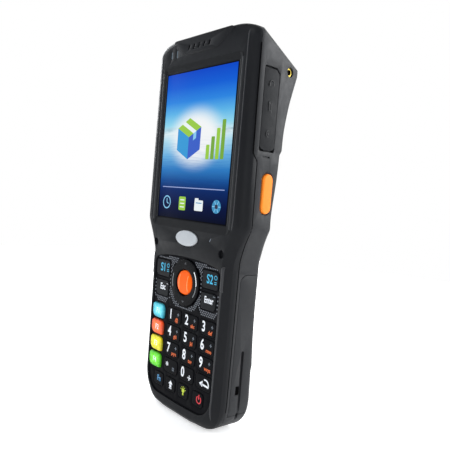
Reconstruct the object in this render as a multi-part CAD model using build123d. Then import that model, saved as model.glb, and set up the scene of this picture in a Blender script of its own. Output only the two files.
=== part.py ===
from build123d import *
import math
import os

# Portable barcode data terminal, millimetres.
# X runs to the right of the display, Y runs from the display to the back, Z runs up to the
# scan window. The terminal stands on its flat lower end. Everything is drawn with y = 0 at the
# display surface, and moved at the end so that the origin is the middle of the base.

# ---------------------------------------------------------------- driving dimensions
HEIGHT = 184.8          # overall length
HEAD_TOP, HEAD_LOW = 37.1, 37.7      # half width of the head near its top and at the neck
GRIP_TOP, GRIP_LOW = 30.4, 29.7      # half width of the grip
Y_FRONT = -1.0          # front plane of the head
Y_RIDGE = -0.25         # front ridge of the grip
EDGE_R = 5.3            # head front edge radius
WALL = 2.0              # rear shell wall
WALL_F = 2.2            # front shell wall
REAR_R = 3.0            # rear edge radius
TOP_R = 3.0             # top front edge radius
LOW_R = 5.9             # lower front edge radius
SLANT = 0.5782          # fall of the scan face per mm of depth
SLANT_Z = 185.35        # height of the scan face's plane at y = 3.6
SLANT_R = 9.0           # radius along its side edges
PART_GAP = 0.1          # half the joint between the shells
TAPER = 0.159           # inward slope of the hump sides per mm of depth
SCREEN_W, SCREEN_Z0, SCREEN_Z1 = 53.34, 96.1, 167.2
GLASS_W, GLASS_Z0, GLASS_Z1 = 56.0, 92.2, 170.7
PLATE_Y = 0.3           # keypad panel surface
PLATE_T = 1.0
KEY_BACK = 2.0          # rear face of the key caps
KEY_TRAVEL = 0.5
NAV_Z = 65.8
COL_X = (-6.57, 6.57, 19.7)
ROW_Z = (48.1, 39.71, 31.32, 22.93)
KEY_GAP = 0.2
BTN_Y, BTN_Z, BTN_W, BTN_H = 12.4, 111.0, 5.8, 17.6
BAY_Y, BAY_TOP, BAY_LOW = 8.1, 73.8, 8.5
K = 0.5523


def XZ(y):
    return Plane(origin=(0, y, 0), x_dir=(1, 0, 0), z_dir=(0, -1, 0))


def YZ(x):
    return Plane(origin=(x, 0, 0), x_dir=(0, 1, 0), z_dir=(1, 0, 0))


def box(x0, x1, y0, y1, z0, z1):
    return Pos((x0 + x1) / 2, (y0 + y1) / 2, (z0 + z1) / 2) * Box(x1 - x0, y1 - y0, z1 - z0)


def cyl_y(x, z, r, y0, y1):
    return extrude(XZ(y0) * Pos(x, z) * Circle(r), amount=y1 - y0, dir=(0, 1, 0))


def cyl_x(y, z, r, x0, x1):
    return extrude(YZ(x0) * Pos(y, z) * Circle(r), amount=x1 - x0, dir=(1, 0, 0))


def plate(sketch, y0, y1):
    """Sketch in (X, Z), drawn out along Y."""
    return extrude(XZ(y0) * sketch, amount=y1 - y0, dir=(0, 1, 0))


def corners(w, h, radii, cx=0.0, cz=0.0):
    """Rectangle with its own radius at each corner: top left, top right, low right, low left."""
    s = Rectangle(w, h)
    for (px, pz), r in zip(((-1, 1), (1, 1), (1, -1), (-1, -1)), radii):
        if r > 0:
            v = min(s.vertices(), key=lambda q: abs(q.X - px * w / 2) + abs(q.Y - pz * h / 2))
            s = fillet(v, r)
    return Pos(cx, cz) * s


def one(shape):
    """Largest solid of a result."""
    return max(shape.solids(), key=lambda s: s.volume)


# ---------------------------------------------------------------- outer form
def corner(p0, pc, p2, k=K):
    a = (p0[0] + k * (pc[0] - p0[0]), p0[1] + k * (pc[1] - p0[1]))
    b = (p2[0] + k * (pc[0] - p2[0]), p2[1] + k * (pc[1] - p2[1]))
    return Bezier(p0, a, b, p2)


def outline(hi, gi, ti, bi):
    """Right half of the front view; hi, gi, ti, bi inset the head, grip, top and bottom."""
    zt = HEIGHT - ti
    wt, wm = HEAD_TOP - hi, HEAD_LOW - hi
    wg, wb = GRIP_TOP - gi, GRIP_LOW - gi
    ck = 24.0 - 0.5 * hi
    a2, b, c = (ck, zt - 0.45), (wt, 177.5 - 0.35 * ti), (wm, 96.5)
    d, e, f, g = (wg, 75.0), (wb, 17.5 + 0.25 * bi), (15.5 - 0.15 * gi, 0.5 + bi), (10.5, bi)
    mid = [(36.5 - hi * 0.98, 92.7), (33.5 - hi * 0.55 - gi * 0.4, 87.0), (31.5 - gi, 82.0)]
    return [
        ThreePointArc((0, zt), (ck * 0.5, zt - 0.11), a2),
        Bezier(a2, (wt - 6.6, zt - 1.0), (wt - 0.3, zt - 2.4), b),
        Line(b, c),
        Spline(c, *mid, d, tangents=[(0, -1), (0, -1)]),
        Line(d, e),
        corner(e, (wb, 0.5 + bi), f, 0.76 - 0.07 * gi),
        Line(f, g),
        Line(g, (0, bi)),
    ]


def face_at(hi, gi, ti, bi, y):
    half = outline(hi, gi, ti, bi)
    return XZ(y) * make_face(Curve() + half + [e.mirror(Plane.YZ) for e in reversed(half)])


def side_profile(t=0.0):
    """Side view (Y, Z) of everything behind the front plane."""
    z_at = lambda y: SLANT_Z - (y - 3.6) * SLANT - t * 1.1547
    y0 = 3.6 - t * 0.5774
    return [
        Polyline((-3, -1), (-3, 187), (y0, 187), (y0, z_at(y0))),
        Line((y0, z_at(y0)), (25.0 - t * 0.75, z_at(25.0 - t * 0.75))),
        corner((25.0 - t * 0.75, z_at(25.0 - t * 0.75)), (29.3 - t * 1.05, z_at(29.3 - t * 1.05)), (27.9 - t, 164.6 - t * 0.4)),
        Spline((27.9 - t, 164.6 - t * 0.4), (25.7 - t, 157.5), (24.1 - t, 151.9), (22.9 - t, 146.0), (21.9 - t, 139.5),
               (21.5 - t, 130.6), tangents=[(-0.3, -1), (-0.03, -1)]),
        Line((21.5 - t, 130.6), (20.3 - t, 128.4)),
        Spline((20.3 - t, 128.4), (19.7 - t, 117.5), (18.7 - t, 108), (18.1 - t, 97.5), (19.6 - t, 86), (20.4 - t, 75),
               tangents=[(-0.04, -1), (0.03, -1)]),
        Spline((20.4 - t, 75), (20.4 - t, 60), (20.8 - t, 45), (21.8 - t, 31), tangents=[(0.0, -1), (0.1, -1)]),
        Line((21.8 - t, 31), (21.4 - t, 28.6)),
        Line((21.4 - t, 28.6), (21.9 - t, 14)),
        Spline((21.9 - t, 14), (21.2 - t, 6.5 + t * 0.3), (18.6 - t * 0.7, 1.9 + t * 0.7), (13.5, 0.0 + t),
               tangents=[(0.0, -1), (-1, -0.12)]),
        Line((13.5, t), (13.5, -1)),
        Line((13.5, -1), (-3, -1)),
    ]


def slanted_block(t=0.0):
    """Everything under the slanted scan face, whose side edges are well rounded."""
    pl = Plane(origin=(0, 3.6, SLANT_Z), x_dir=(1, 0, 0), z_dir=(0, 0.8657, -0.5006))
    w, r = 37.75 - t, SLANT_R - t
    q = r * (1 - math.sqrt(0.5))
    sec = [
        Line((-w, 200), (-w, t + r)),
        ThreePointArc((-w, t + r), (-w + q, t + q), (-w + r, t)),
        Line((-w + r, t), (w - r, t)),
        ThreePointArc((w - r, t), (w - q, t + q), (w, t + r)),
        Line((w, t + r), (w, 200)),
        Line((w, 200), (-w, 200)),
    ]
    return Pos(0, -60 * 0.8657, 60 * 0.5006) * extrude(pl * make_face(Curve() + sec), amount=210, dir=(0, 0.8657, -0.5006))


def envelope(t=0.0, round_rear=0.0):
    """Outer form inset by t, as one solid."""
    secs = []
    for y in (-1.0, -0.62, 0.1, 1.3, 3.0, 4.3):
        d = min(y - Y_FRONT, EDGE_R)
        hi = EDGE_R - math.sqrt(max(EDGE_R**2 - (EDGE_R - d) ** 2, 0))
        gi = max(0.0, 3.0 - y) * 1.03
        dt = min(y - Y_FRONT, TOP_R)
        ti = TOP_R - math.sqrt(max(TOP_R**2 - (TOP_R - dt) ** 2, 0))
        db = min(y - Y_FRONT, LOW_R)
        bi = LOW_R - math.sqrt(max(LOW_R**2 - (LOW_R - db) ** 2, 0))
        secs.append(face_at(hi + t, gi + t, ti + t, bi + t, y + t))
    front = loft(secs, ruled=True)
    back = extrude(face_at(t, t, t, t, 4.3 + t), amount=32, dir=(0, 1, 0))
    prism = extrude(Plane(origin=(-45, 0, 0), x_dir=(0, 1, 0), z_dir=(1, 0, 0)) * make_face(Curve() + side_profile(t)), amount=90)
    w = 37.75 - t * 1.0126
    xa, xb = w + TAPER * (12.4 + 10), w - TAPER * (36 - 12.4)
    taper = Pos(0, 0, -2) * extrude(make_face(Polyline((-xa, -10), (xa, -10), (xb, 36), (-xb, 36), close=True)), amount=192)
    rear = one(back & prism)
    if round_rear:
        chain = []
        for e in rear.edges():
            c, a, b = e.center(), e.position_at(0), e.position_at(1)
            along_depth = abs(a.X - b.X) < 2.5 and abs(a.Z - b.Z) < 0.05
            # the low crease where the top meets the scan face stays as it is
            if abs(c.X) < 16.5 or along_depth or c.Y < 6 or c.Z > 178:
                continue
            chain.append(e)
        rear = fillet(chain, round_rear)
    rear = one(rear & taper & slanted_block(t))
    # the front loft meets the rear block on one plane; ends are cut back to the side profile
    cut = one(front & prism)
    return one(cut + rear)


OUT = envelope(0.0, REAR_R)
IN_R = envelope(WALL)
IN_F = envelope(WALL_F)

# ---------------------------------------------------------------- parting surface between the shells
def front_side(shift):
    """Block in front of the parting surface, moved along Y by shift."""
    s = shift
    edges = [
        Polyline((-6, -4), (6.5 + s, -4), (6.5 + s, 77.0)),
        Spline((6.5 + s, 77.0), (5.95 + s, 84.0), (5.35 + s, 91.0), tangents=[(0, 1), (0, 1)]),
        Line((5.35 + s, 91.0), (5.2 + s, 124.4)),
        Spline((5.2 + s, 124.4), (3.95 + s, 126.1), (2.7 + s, 127.8), tangents=[(0, 1), (0, 1)]),
        Polyline((2.7 + s, 127.8), (2.7 + s, 190), (-6, 190), (-6, -4)),
    ]
    return extrude(Plane(origin=(-45, 0, 0), x_dir=(0, 1, 0), z_dir=(1, 0, 0)) * make_face(Curve() + edges), amount=90)


# ---------------------------------------------------------------- keypad panel outline
def panel_outline(grow, side=None):
    g = grow
    k = grow if side is None else side
    half = [
        Spline((0, 78.0 + g), (12.0, 77.6 + g), (22.6, 76.1 + g), tangents=[(1, 0), (1, -0.22)]),
        corner((22.6, 76.1 + g), (25.95 + k, 75.4 + g), (25.95 + k, 72.4)),
        Line((25.95 + k, 72.4), (25.75 + k, 17.0)),
        corner((25.75 + k, 17.0), (25.6 + k, 7.6 - g), (16.5, 7.1 - g)),
        Spline((16.5, 7.1 - g), (8.0, 6.8 - g), (0, 6.7 - g), tangents=[(-1, -0.05), (-1, 0)]),
    ]
    return make_face(Curve() + half + [e.mirror(Plane.YZ) for e in reversed(half)])


# ---------------------------------------------------------------- keys: name, sketch, front face, edge radius
def key_specs():
    k = {}
    k["key_s1"] = (corners(11.6, 8.4, (1.2, 1.2, 1.2, 2.6), -18.9, 70.2), -0.1, 0.4)
    k["key_s2"] = (corners(11.6, 8.4, (1.2, 2.4, 1.2, 1.2), 18.9, 70.2), -0.1, 0.4)
    k["key_esc"] = (corners(10.8, 7.8, (1.2, 1.2, 1.2, 2.2), -18.6, 60.2), -0.1, 0.4)
    k["key_enter"] = (corners(10.8, 7.8, (1.2, 1.2, 2.2, 1.2), 18.6, 60.2), -0.1, 0.4)
    for name, z in zip(("key_cyan", "key_orange", "key_yellow", "key_green"), ROW_Z):
        k[name] = (corners(10.2, 7.4, (1.9, 2.9, 1.9, 3.4), -20.15, z), -0.55, 0.75)
    labels = [["key_1", "key_2", "key_3"], ["key_4", "key_5", "key_6"], ["key_7", "key_8", "key_9"], ["key_star", "key_0", "key_back"]]
    for row, z in zip(labels, ROW_Z):
        for name, x in zip(row, COL_X):
            k[name] = (corners(11.2, 7.0, (1.3, 1.3, 1.3, 2.4), x, z), 0.0, 0.35)
    for name, x in zip(("key_fn", "key_shift", "key_light", "key_power"), (-15.8, -5.5, 5.0, 16.4)):
        k[name] = (corners(7.8, 6.6, (1.3, 1.3, 1.3, 1.3), x, 14.1), 0.0, 0.35)
    return k


KEYS = key_specs()
parts = {}

for name, (sk, y_top, r) in KEYS.items():
    cap = plate(sk, y_top, KEY_BACK)
    rim = [e for e in cap.edges() if abs(e.center().Y - y_top) < 1e-3]
    parts[name] = fillet(rim, r)

# four-way ring, its carrier and the centre key
ring = cyl_y(0, NAV_Z, 11.3, -0.55, 1.2) - cyl_y(0, NAV_Z, 6.35, -2, 3)
ring = fillet([e for e in ring.edges() if abs(e.center().Y + 0.55) < 1e-3], 0.5)
parts["nav_ring"] = ring
parts["nav_carrier"] = cyl_y(0, NAV_Z, 9.4, 1.75, 2.35) - cyl_y(0, NAV_Z, 7.0, 1, 3)
key = cyl_y(0, NAV_Z, 5.95, -0.5, 1.9)
dome = Pos(0, 12.72, NAV_Z) * Sphere(14.3) & cyl_y(0, NAV_Z, 5.95, -3, 0.5)
key = one(key + dome)
parts["scan_key"] = key

# keypad panel with a hole round each key
panel = plate(panel_outline(0.0), PLATE_Y, PLATE_Y + PLATE_T)
panel -= cyl_y(0, NAV_Z, 11.5, -1, 3)
for sk, _, _ in KEYS.values():
    panel -= plate(offset(sk, amount=KEY_GAP), -1, 3)
parts["keypad_bezel"] = one(panel)

# silicone sheet, snap domes and circuit board
mat = plate(panel_outline(-1.6, -1.2), 2.65, 3.4) - cyl_y(0, NAV_Z, 11.9, 1, 5)
board = plate(panel_outline(-2.0, -1.6), 3.8, 4.8)
for x, z in ((-26.3, 68), (26.3, 68), (-25.6, 16.5), (25.6, 16.5)):
    mat -= cyl_y(x, z, 2.9, 1, 6)
    board -= cyl_y(x, z, 2.9, 1, 6)
parts["keypad_mat"] = one(mat)
parts["keypad_board"] = one(board)
spots = [(s.center().X, s.center().Y) for s, _, _ in KEYS.values()]
spots += [(0, NAV_Z), (-8.2, NAV_Z), (8.2, NAV_Z), (0, NAV_Z - 8.2), (0, NAV_Z + 8.2)]
parts["key_domes"] = Compound([one(cyl_y(x, z, 2.4, 3.5, 3.8)) for x, z in spots])

# ---------------------------------------------------------------- display and small front parts
glass = plate(corners(GLASS_W, GLASS_Z1 - GLASS_Z0, (1.2, 1.2, 1.2, 1.2), 0, (GLASS_Z0 + GLASS_Z1) / 2), -0.5, 0.5)
parts["display_glass"] = glass
parts["lcd_module"] = box(-28.5, 28.5, 1.2, 4.2, 91.4, 171.2)
badge = XZ(-1.55) * Pos(0, 87.2) * Ellipse(8.5, 3.7)
badge = extrude(badge, amount=1.05, dir=(0, 1, 0))
badge = fillet([e for e in badge.edges() if abs(e.center().Y + 1.55) < 1e-3], 0.3)
parts["badge_plate"] = badge
LEDS = [(-24.1, 176.9), (-19.7, 176.9)]
parts["led_windows"] = Compound([one(plate(SlotOverall(3.6, 0.8, rotation=90).locate(Location((0, 0, 0))).moved(Location((x, z, 0))), -0.95, 1.6)) for x, z in LEDS])
parts["earpiece"] = plate(corners(19, 4.6, (1.8, 1.8, 1.8, 1.8), -1.2, 177.9), 1.6, 3.4)
parts["microphone"] = cyl_y(17.6, 88.2, 1.6, 1.3, 2.6)

# ---------------------------------------------------------------- front shell
fs = front_side(-PART_GAP)
front = OUT & fs
# grip front drops back from the head to the ridge plane, with a short ramp
ramp = extrude(Plane(origin=(-45, 0, 0), x_dir=(0, 1, 0), z_dir=(1, 0, 0)) * make_face(
    Polyline((-6, -3), (Y_RIDGE, -3), (Y_RIDGE, 74.5), (Y_FRONT - 0.02, 84.0), (-6, 84.0), close=True)), amount=90)
front = one(front - ramp)
# raised field over the earpiece
plat = make_face(Polyline((-22.9, 182.56), (-12.2, 175.4), (12.2, 175.4), (22.9, 182.56), (20.8, 183.7), (-20.8, 183.7), close=True))
plat = loft([XZ(-1.75) * offset(plat, amount=-0.5), XZ(-0.9) * plat], ruled=True) + plate(plat, -0.9, 0.6)
front = one(front + plat)
cav = IN_F - box(-45, 45, -6, 2.6, -2, 81.0)
front = one(front - cav)
# glass pocket with a narrow chamfer, and the display window
gz = (GLASS_Z0 + GLASS_Z1) / 2
pocket = plate(corners(GLASS_W + 0.2, GLASS_Z1 - GLASS_Z0 + 0.2, (1.3,) * 4, 0, gz), -3, 0.5)
bev = loft([XZ(-1.05) * corners(GLASS_W + 1.1, GLASS_Z1 - GLASS_Z0 + 1.1, (1.75,) * 4, 0, gz),
            XZ(-0.6) * corners(GLASS_W + 0.2, GLASS_Z1 - GLASS_Z0 + 0.2, (1.3,) * 4, 0, gz)], ruled=True)
front = front - pocket - bev
front = front - box(-27.2, 27.2, 0, 3, 95.5, 167.8)
# keypad pocket and opening
front = front - plate(panel_outline(0.12, 0.1), -3, 1.35) - plate(panel_outline(-0.8, 0.0), 0, 3.6)
# badge pocket, microphone slit, light pipes, earpiece slots, two blind holes at the neck
front = front - extrude(XZ(-0.5) * Pos(0, 87.2) * Ellipse(8.6, 3.8), amount=3, dir=(0, -1, 0))
front = front - plate(Pos(17.6, 88.2) * Rot(0, 0, 62) * SlotOverall(1.9, 0.55), -3, 2.6)
for x, z in LEDS:
    front = front - plate(Pos(x, z) * Rot(0, 0, 90) * SlotOverall(3.7, 0.9), -3, 3)
for i in range(5):
    front = front - plate(Pos(-1.2 + (i - 2) * 3.9, 178.6) * Rot(0, 0, 68) * SlotOverall(2.6, 1.05), -3, 3)
for sx in (-1, 1):
    front = front - cyl_y(sx * 25.9, 82.9, 1.9, -3, 0.6)
front = one(front)
# screw bosses
bosses = [(-26.3, 68), (26.3, 68), (-25.6, 16.5), (25.6, 16.5)]
for x, z in bosses:
    front = front + cyl_y(x, z, 2.2, 2.3, 6.3)
for x in (-31, 31):
    front = front + cyl_y(x, 122, 2.0, 0.6, 5.0)
for x, z in bosses:
    front = front - cyl_y(x, z, 0.85, 2.9, 8)
for x in (-31, 31):
    front = front - cyl_y(x, 122, 0.85, 1.4, 8)
front = front - plate(panel_outline(-0.8, 0.0), 0, 3.6)
parts["front_housing"] = one(front)

# ---------------------------------------------------------------- rear shell
rs = front_side(PART_GAP)
rear = OUT - IN_R - rs
bay_profile = lambda g: YZ(-45) * make_face(Curve() + [
    Polyline((BAY_Y - g, 70.3), (BAY_Y - g, BAY_LOW - g), (40, BAY_LOW - g), (40, BAY_TOP + g), (11.6 - g, BAY_TOP + g)),
    corner((11.6 - g, BAY_TOP + g), (BAY_Y - g, BAY_TOP + g), (BAY_Y - g, 70.3)),
])
bay = lambda g: extrude(bay_profile(g), amount=90, dir=(1, 0, 0))
rear = rear - bay(0.12)
solid = OUT - rs
# bay floor and the two bulkheads
floor = (solid & box(-40, 40, 6.0, 7.95, 3.0, 76.0))
top_wall = (solid & box(-40, 40, 6.0, 40, 74.0, 76.0))
low_wall = (solid & box(-40, 40, 6.0, 40, 6.3, 8.35))
rear = one(rear + floor + top_wall + low_wall)
# pins that hold the keypad board
for x, z in ((-17, 44), (17, 44), (0, 44), (-12, 19), (12, 19), (0, 73.4)):
    rear = rear + cyl_y(x, z, 1.3, 4.85, 7.2)
# keeper notch for the latch, open to the back
rear = rear - box(-5, 5, 17.9, 30, 73.0, 75.4)
# terminal block opening in the bay floor
rear = rear - box(8, 18.4, 5, 9, 65.9, 71.1)
# screws: four through the bay floor, two through the back of the head
for x, z in bosses:
    rear = rear - cyl_y(x, z, 1.1, 5, 9) - cyl_y(x, z, 2.0, 7.35, 9)
for x in (-31, 31):
    rear = rear + (cyl_y(x, 122, 2.6, 7.6, 20.5) & OUT)
    rear = rear - cyl_y(x, 122, 1.1, 5, 30) - cyl_y(x, 122, 2.1, 15.6, 30)
# scan window pocket in the slanted face
nrm = Vector(0, 0.5006, 0.8657)
slant = Plane(origin=(0, 16.5, SLANT_Z - (16.5 - 3.6) * SLANT), x_dir=(1, 0, 0), z_dir=nrm)
rear = rear - extrude(slant.offset(0.5) * RectangleRounded(44.6, 13.6, 1.8), amount=-1.5)
rear = rear - extrude(slant.offset(0.5) * RectangleRounded(40.6, 9.8, 1.2), amount=-6)
# brass insert bosses, bores and counterbores
INS_Y, INS_Z, INS_X = 22.2, 166.1, 35.3
for sx in (-1, 1):
    x0, x1 = sorted((sx * 30.6, sx * 36.2))
    rear = rear + (cyl_x(INS_Y, INS_Z, 3.7, x0, x1) & OUT)
    x0, x1 = sorted((sx * 31.2, sx * 40))
    rear = rear - cyl_x(INS_Y, INS_Z, 2.0, x0, x1)
    x0, x1 = sorted((sx * INS_X, sx * 40))
    rear = rear - cyl_x(INS_Y, INS_Z, 2.2, x0, x1)
# port recess on the right side: pad inside the wall, pocket, three socket openings
def port_prism(pts, low_r, high_r, x0, x1):
    """Outline in (Y, Z): low corners, two points of the slanted upper rear corner, upper front corner."""
    p = extrude(YZ(x0) * make_face(Polyline(*pts, close=True)), amount=x1 - x0, dir=(1, 0, 0))
    along = [e for e in p.edges() if abs(e.tangent_at(0.5).X) > 0.9]
    low = [e for e in along if e.center().Z < 132]
    high = [e for e in along if e.center().Z > 132]
    p = fillet(low, low_r)
    high = [e for e in p.edges() if abs(e.tangent_at(0.5).X) > 0.9 and e.center().Z > 140]
    return fillet(high, high_r)


RECESS = ((5.6, 129.15), (15.0, 129.15), (15.0, 164.0), (13.1, 165.9), (5.6, 165.9))
FLAP = ((5.88, 130.05), (14.72, 130.05), (14.72, 162.95), (12.75, 164.95), (5.88, 164.95))
rear = rear + (box(33.5, 37.0, 4.6, 16.6, 126.8, 168.0) & OUT & (OUT - rs))
rear = rear - port_prism(RECESS, 1.0, 0.8, 35.6, 45)
rear = rear - (cyl_x(10.4, 158.0, 1.85, 32, 40))
rear = rear - box(32, 40, 8.5, 12.1, 143.6, 152.4)
rear = rear - cyl_x(10.4, 136.6, 2.3, 32, 40)
# a short groove under the flap
rear = rear - box(37.05, 45, 8.2, 12.4, 126.6, 127.3)
# scan buttons in both sides: through opening with a shallow dish
stadium = lambda g: SlotOverall(BTN_H + 2 * g, BTN_W + 2 * g, rotation=90)
for sx in (-1, 1):
    x0, x1 = sorted((sx * 33.0, sx * 45))
    rear = rear - extrude(YZ(x0) * Pos(BTN_Y, BTN_Z) * stadium(0.25), amount=x1 - x0, dir=(1, 0, 0))
    x0, x1 = sorted((sx * 36.95, sx * 45))
    rear = rear - extrude(YZ(x0) * Pos(BTN_Y, BTN_Z) * stadium(0.75), amount=x1 - x0, dir=(1, 0, 0))
# charging pads under the base
CONTACTS = [(-8, 8.0), (-4, 8.0), (0, 8.0), (4, 8.0), (8, 8.0)]
rear = rear + (box(-12.2, 12.2, 6.7, 14.0, 0.3, 3.2) & (OUT - rs))
rear = rear - box(-11, 11, 8.4, 12.2, -1, 0.6)
for x, _ in CONTACTS:
    rear = rear - box(x - 1.05, x + 1.05, 8.95, 11.65, -1, 5)
parts["dock_contacts"] = Compound([one(box(x - 1.0, x + 1.0, 9.0, 11.6, 0.75, 3.6)) for x, _ in CONTACTS])
# cradle guide slot on both sides of the base
guide = make_face(Polyline((12.6, 37.85), (14.3, 37.85), (14.65, 9.0), (14.8, -2), (13.1, -2), (13.2, 9.0), close=True))
foot = make_face(Polyline((13.2, 9.4), (14.65, 9.4), (14.8, -2), (13.1, -2), close=True))
notch = make_face(Polyline((11.0, 18.3), (13.6, 18.3), (13.6, 22.5), (11.0, 22.5), close=True))
slots = []
for sx in (-1, 1):
    for face, depth in ((guide, 28.9), (Pos(13.45, 37.85) * Circle(0.85), 28.9), (foot, 27.8), (notch, 28.45)):
        x0, x1 = sorted((sx * depth, sx * 40))
        slots.append(extrude(YZ(x0) * face, amount=x1 - x0, dir=(1, 0, 0)))
for s in slots:
    rear = rear - s
rear = one(rear)

# rubber cord between the shells, in a groove of the rear shell
ringwall = envelope(0.75) - envelope(1.5)
seal = one((ringwall & front_side(0.75)) - front_side(-0.08))
groove = (envelope(0.7) - envelope(1.55)) & front_side(0.85)
parts["rear_housing"] = one(rear - groove)
parts["housing_seal"] = seal

# ---------------------------------------------------------------- battery cover, pack, latch, terminals
cover = OUT & bay(-0.12)
hollow = IN_R & (box(-40, 40, 0, 18.2, 10.4, 56.0) + box(-40, 40, 0, 16.3, 10.4, 71.8))
cover = one(cover - hollow)
LATCH_W, LATCH_Z0, LATCH_Z1, LATCH_Y = 8.8, 59.2, 68.8, 17.95
cover = cover - box(-LATCH_W - 0.3, LATCH_W + 0.3, LATCH_Y - 0.25, 40, LATCH_Z0 - 2.3, LATCH_Z1 + 0.3)
cover = cover - box(-4.4, 4.4, LATCH_Y - 0.05, LATCH_Y + 1.75, 68, 80)
# shallow finger ribs across the back of the grip
for z in (36.0, 40.0, 44.0, 48.0):
    cover = cover - plate(Pos(0, z) * SlotOverall(34, 1.1), 20.15 - (z - 36) * 0.03, 40)
for s in slots:
    cover = cover - s
parts["battery_cover"] = one(cover)
pack = box(-26.2, 26.2, 8.5, 17.9, 11.6, 55.7) + box(-26.2, 26.2, 8.5, 16.0, 11.6, 71.4)
pack = one(pack)
pack = fillet([e for e in pack.edges() if abs(e.tangent_at(0.5).Z) > 0.9], 1.0)
parts["battery_pack"] = pack
latch = box(-LATCH_W, LATCH_W, LATCH_Y, LATCH_Y + 1.75, LATCH_Z0, LATCH_Z1)
latch = fillet([e for e in latch.edges() if abs(e.tangent_at(0.5).Y) > 0.9], 1.2)
for i in range(4):
    latch = latch + box(-6, 6, LATCH_Y + 1.6, LATCH_Y + 2.15, 61.2 + i * 1.9, 62.0 + i * 1.9)
latch = latch + box(-4, 4, LATCH_Y + 0.25, LATCH_Y + 1.45, 68.0, 75.1)
parts["battery_latch"] = one(latch)
term = box(8.2, 18.2, 5.6, 8.2, 66.1, 70.9)
parts["battery_terminals"] = term

# ---------------------------------------------------------------- port flap
FLAP_X, FLAP_Z, FLAP_R = 36.95, 130.05, 0.5
flap = one(OUT & port_prism(FLAP, 1.9, 0.7, 35.85, 45))
# hinge barrel along the straight part of the lower edge
flap = flap + extrude(Plane(origin=(0, 8.1, 0), x_dir=(1, 0, 0), z_dir=(0, -1, 0)) * Pos(FLAP_X, FLAP_Z) * Circle(FLAP_R), amount=4.4, dir=(0, 1, 0))
parts["port_cover"] = one(flap)

# ---------------------------------------------------------------- side buttons and switches
for sx, name in ((1, "side_button_right"), (-1, "side_button_left")):
    x0, x1 = sorted((sx * 34.3, sx * 38.25))
    cap = extrude(YZ(x0) * Pos(BTN_Y, BTN_Z) * stadium(0.0), amount=x1 - x0, dir=(1, 0, 0))
    top = [e for e in cap.edges() if abs(e.center().X - sx * 38.25) < 1e-3]
    cap = fillet(top, 0.8)
    x0, x1 = sorted((sx * 34.3, sx * 34.85))
    cap = cap + extrude(YZ(x0) * Pos(BTN_Y, BTN_Z) * stadium(0.6), amount=x1 - x0, dir=(1, 0, 0))
    parts[name] = one(cap)
sw = []
for sx in (-1, 1):
    x0, x1 = sorted((sx * 31.2, sx * 33.35))
    sw.append(one(box(x0, x1, 7.3, 14.6, 107.6, 114.4)))
parts["side_switches"] = Compound(sw)

# ---------------------------------------------------------------- inside the head
board = make_face(Polyline((-28.6, 84.0), (28.6, 84.0), (28.6, 93), (33.2, 97), (33.2, 160), (-33.2, 160), (-33.2, 97), (-28.6, 93), close=True))
mb = plate(board, 6.2, 7.3)
for x in (-31, 31):
    mb = mb - cyl_y(x, 122, 3.0, 5, 9)
parts["main_board"] = one(mb)
can = box(-20, 8, 7.3, 9.6, 98, 124)
parts["shield_can"] = fillet([e for e in can.edges() if abs(e.tangent_at(0.5).Y) > 0.9], 1.0)
parts["usb_socket"] = box(27.4, 33.3, 8.6, 12.0, 144.0, 152.0) + box(27.4, 33.0, 7.3, 8.7, 144.6, 151.4)
jack = cyl_x(10.4, 158.0, 2.6, 22.4, 33.3) + box(22.4, 33.1, 7.3, 9.0, 155.8, 159.9)
parts["audio_jack"] = one(jack - cyl_x(10.4, 158.0, 1.78, 23.4, 40))
pj = cyl_x(10.4, 136.6, 3.1, 24.0, 33.3) + box(24.0, 33.1, 7.3, 9.0, 133.8, 139.4)
pj = pj - (cyl_x(10.4, 136.6, 2.0, 25.4, 40) - cyl_x(10.4, 136.6, 0.6, 25.0, 32.6))
parts["power_jack"] = one(pj)
eng = extrude(slant.offset(-3.0) * RectangleRounded(28, 11.4, 0.8), amount=-8)
parts["scan_engine"] = one(eng)
win = extrude(slant.offset(-0.15) * RectangleRounded(44.2, 13.2, 1.6), amount=-0.85)
parts["scan_window"] = one(win)

# brass inserts, drawn as plain bushes at the thread's minor diameter
ins = []
for sx in (-1, 1):
    x0, x1 = sorted((sx * 31.25, sx * 35.25))
    b = cyl_x(INS_Y, INS_Z, 1.95, x0, x1) - cyl_x(INS_Y, INS_Z, 1.25, x0 - 1, x1 + 1)
    ins.append(one(b))
parts["thread_inserts"] = Compound(ins)

# case screws
screws = []
for x, z in bosses:
    screws.append(one(cyl_y(x, z, 0.8, 3.3, 7.4) + cyl_y(x, z, 1.75, 7.4, 7.9)))
for x in (-31, 31):
    s = cyl_y(x, 122, 0.8, 1.8, 15.7) + cyl_y(x, 122, 1.85, 15.7, 17.5)
    s = s - cyl_y(x, 122, 0.7, 17.0, 20)
    screws.append(one(s))
parts["case_screws"] = Compound(screws)

# ---------------------------------------------------------------- move to the base origin and write
boxes = [p.bounding_box() for p in parts.values()]
y_lo, y_hi = min(b.min.Y for b in boxes), max(b.max.Y for b in boxes)
z_lo = min(b.min.Z for b in boxes)
YD = -(y_lo + y_hi) / 2
os.makedirs("parts", exist_ok=True)
for name, p in parts.items():
    moved = Pos(0, YD, -z_lo) * p
    export_step(moved, "parts/" + name + ".step")
print("nodes", len(parts), "shift y", round(YD, 4), "z", round(-z_lo, 4), "y", round(y_lo, 3), round(y_hi, 3))
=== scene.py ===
import bpy
import bmesh
import math
from mathutils import Matrix, Vector
from mathutils.bvhtree import BVHTree


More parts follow.
